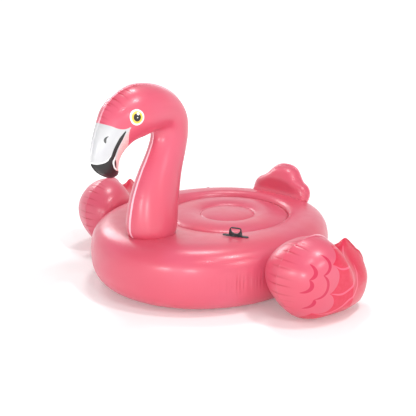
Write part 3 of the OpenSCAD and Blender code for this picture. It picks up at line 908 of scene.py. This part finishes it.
TAIL_PLEATS = Pleats(1.1, 36 * MM, 4 * MM, 1.4 * MM, 34 * MM)
tail_panel(True)
tail_panel(False)

# ---- Handles --------------------------------------------------------------------------------------

HANDLE_TURN = math.radians(22)
STRIP_L, STRIP_W, LOOP_W, LOOP_H, LOOP_T = 158 * MM, 24 * MM, 84 * MM, 52 * MM, 12 * MM
WINDOW_R, GRIP = 30 * MM, 7 * MM


def rounded(points, radius, per=6):
    """A closed outline with every corner rounded."""
    out = []
    n = len(points)
    for i in range(n):
        p, a, b = (np.array(points[k % n], float) for k in (i, i - 1, i + 1))
        ra = min(radius, np.linalg.norm(a - p) / 2.2)
        rb = min(radius, np.linalg.norm(b - p) / 2.2)
        start, end = p + (a - p) / np.linalg.norm(a - p) * ra, p + (b - p) / np.linalg.norm(b - p) * rb
        for t in np.linspace(0, 1, per):
            out.append((1 - t) ** 2 * start + 2 * t * (1 - t) * p + t**2 * end)
    return out


def plate(name, outlines, thickness, bevel, matrix):
    """A plate with rounded edges, cut from a first outline with the others as windows."""
    data = bpy.data.curves.new(name, "CURVE")
    data.dimensions = "2D"
    data.fill_mode = "BOTH"
    data.extrude = thickness / 2 - bevel
    data.bevel_depth = bevel
    data.bevel_resolution = 4
    data.offset = -bevel
    for outline in outlines:
        sp = data.splines.new("POLY")
        sp.points.add(len(outline) - 1)
        for point, q in zip(sp.points, outline):
            point.co = (q[0], q[1], 0, 1)
        sp.use_cyclic_u = True
    carrier = bpy.data.objects.new(name, data)
    bpy.context.scene.collection.objects.link(carrier)
    bpy.context.view_layer.update()
    mesh = bpy.data.meshes.new_from_object(carrier)
    bpy.data.objects.remove(carrier)
    mesh.transform(matrix)
    if matrix.determinant() < 0:
        mesh.flip_normals()
    return mesh


def handle(side_name, sign):
    lo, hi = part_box("handle_" + side_name)
    centre = (lo + hi) / 2
    place = Matrix.Translation((centre.x, centre.y, lo.z)) @ Matrix.Rotation(sign * HANDLE_TURN, 4, "Z")
    ends = [(s * (STRIP_L - STRIP_W) / 2 + STRIP_W / 2 * math.cos(t), STRIP_W / 2 * math.sin(t))
            for s, turn in ((1, -90), (-1, 90)) for t in np.radians(np.linspace(turn, turn + 180, 20))]
    strip = plate("strip", [ends], 4 * MM, 1.4 * MM, place @ Matrix.Translation((0, 0, 2 * MM)))
    foot, crown = LOOP_W / 2, LOOP_W / 2 - 8 * MM
    half_loop = [(foot, 2 * MM), (crown + 1 * MM, LOOP_H - 8 * MM), (crown - 7 * MM, LOOP_H)]
    loop = rounded([(-foot, 2 * MM)] + half_loop + [(-x, h) for x, h in half_loop[:0:-1]], 8 * MM)
    half_turn = np.radians(np.linspace(180, 360, 30))
    window = [(WINDOW_R * math.cos(t), LOOP_H - GRIP + WINDOW_R * math.sin(t)) for t in half_turn]
    window = rounded(window, 1.5 * MM)
    upright = place @ Matrix.Rotation(math.pi / 2, 4, "X")
    body = plate("loop", [loop, window], LOOP_T, 2.8 * MM, upright)
    name = f"handle_{side_name}_moulding"
    parts = []
    for mesh in (strip, body):
        o = bpy.data.objects.new(name, mesh)
        bpy.context.scene.collection.objects.link(o)
        parts.append(o)
    chosen = {"active_object": parts[0], "selected_editable_objects": parts, "selected_objects": parts}
    with bpy.context.temp_override(**chosen):
        bpy.ops.object.join()
    obj = parts[0]
    obj.name = name
    obj.data.shade_smooth()
    dressed(obj, MAT_HANDLE)
    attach(obj, "float")
    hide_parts("handle_" + side_name)


handle("left", 1)
handle("right", -1)

# ---- Carried-over CAD parts -----------------------------------------------------------------------

for node_name, node_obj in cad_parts.items():
    if node_obj.hide_render:
        continue
    node_obj.data.materials.clear()
    if "valve" in node_name:
        node_obj.data.materials.append(MAT_VALVE)
        soft = node_obj.modifiers.new("edges", "BEVEL")
        soft.width, soft.segments, soft.limit_method = 0.4 * MM, 2, "ANGLE"
    else:
        node_obj.data.materials.append(MAT_WEB)

# ---- Stage, light and camera ----------------------------------------------------------------------

scene = bpy.context.scene
scene.view_settings.view_transform = "Standard"


def floor():
    mesh = bpy.data.meshes.new("floor")
    r = 90.0
    mesh.from_pydata([(-r, -r, 0), (r, -r, 0), (r, r, 0), (-r, r, 0)], [], [(0, 1, 2, 3)])
    obj = bpy.data.objects.new("floor", mesh)
    scene.collection.objects.link(obj)
    s = Shader("floor")
    white = (0.93, 0.93, 0.93, 1)
    away = s.between(s.distance(), 1.2, 5.0)
    glow = s.mix(away, (0.18, 0.18, 0.18, 1), white)
    mesh.materials.append(s.finish(
        white, Roughness=0.9, Specular_IOR_Level=0.1, Emission_Color=glow, Emission_Strength=0.60
    ))


def area_light(name, at, target, size, power):
    light = bpy.data.lights.new(name, "AREA")
    light.shape = "DISK"
    light.size = size
    light.energy = power
    obj = bpy.data.objects.new(name, light)
    scene.collection.objects.link(obj)
    obj.location = at
    obj.rotation_euler = (Vector(target) - Vector(at)).to_track_quat("-Z", "Y").to_euler()


def studio_dome():
    """A white studio: bright walls, and a softer ceiling."""
    world = bpy.data.worlds.new("studio")
    world.use_nodes = True
    tree = world.node_tree
    back = tree.nodes["Background"]
    back.inputs["Color"].default_value = (1, 1, 1, 1)
    where = tree.nodes.new("ShaderNodeTexCoord")
    split = tree.nodes.new("ShaderNodeSeparateXYZ")
    fade = tree.nodes.new("ShaderNodeMapRange")
    fade.interpolation_type = "SMOOTHSTEP"
    for key, v in (("From Min", 0.30), ("From Max", 0.55), ("To Min", 1.0), ("To Max", 0.42)):
        fade.inputs[key].default_value = v
    tree.links.new(where.outputs["Generated"], split.inputs[0])
    tree.links.new(split.outputs["Z"], fade.inputs["Value"])
    tree.links.new(fade.outputs[0], back.inputs["Strength"])
    return world


floor()
scene.world = studio_dome()
CENTRE = Vector((0.2, -0.3, 0.4))
for name, turn, height, size, power in (
    ("left", -103, 27, 1.9, 62), ("front", 13, 12, 0.6, 46), ("front_right", 38, 10, 0.5, 46),
    ("right", 84, 29, 0.8, 40), ("upper_right", 56, 52, 0.4, 24), ("high", 99, 64, 0.6, 84),
    ("overhead", -136, 72, 1.2, 76),
):
    t, e = math.radians(turn), math.radians(height)
    toward = Vector((math.sin(t) * math.cos(e), -math.cos(t) * math.cos(e), math.sin(e)))
    area_light(name, CENTRE + toward * 5.5, CENTRE, size, power)

camera_data = bpy.data.cameras.new("camera")
camera_data.lens = 68.8
camera_data.sensor_width = 36
camera_data.clip_end = 400
camera = bpy.data.objects.new("camera", camera_data)
scene.collection.objects.link(camera)
ahead = Vector((-0.669, 0.684, -0.291)).normalized()
right = Vector((0.715, 0.699, 0)).normalized()
up = right.cross(ahead)
turned = Matrix((right, up, -ahead)).transposed().to_4x4()
camera.matrix_world = Matrix.Translation((3.318, -3.572, 1.869)) @ turned
scene.camera = camera
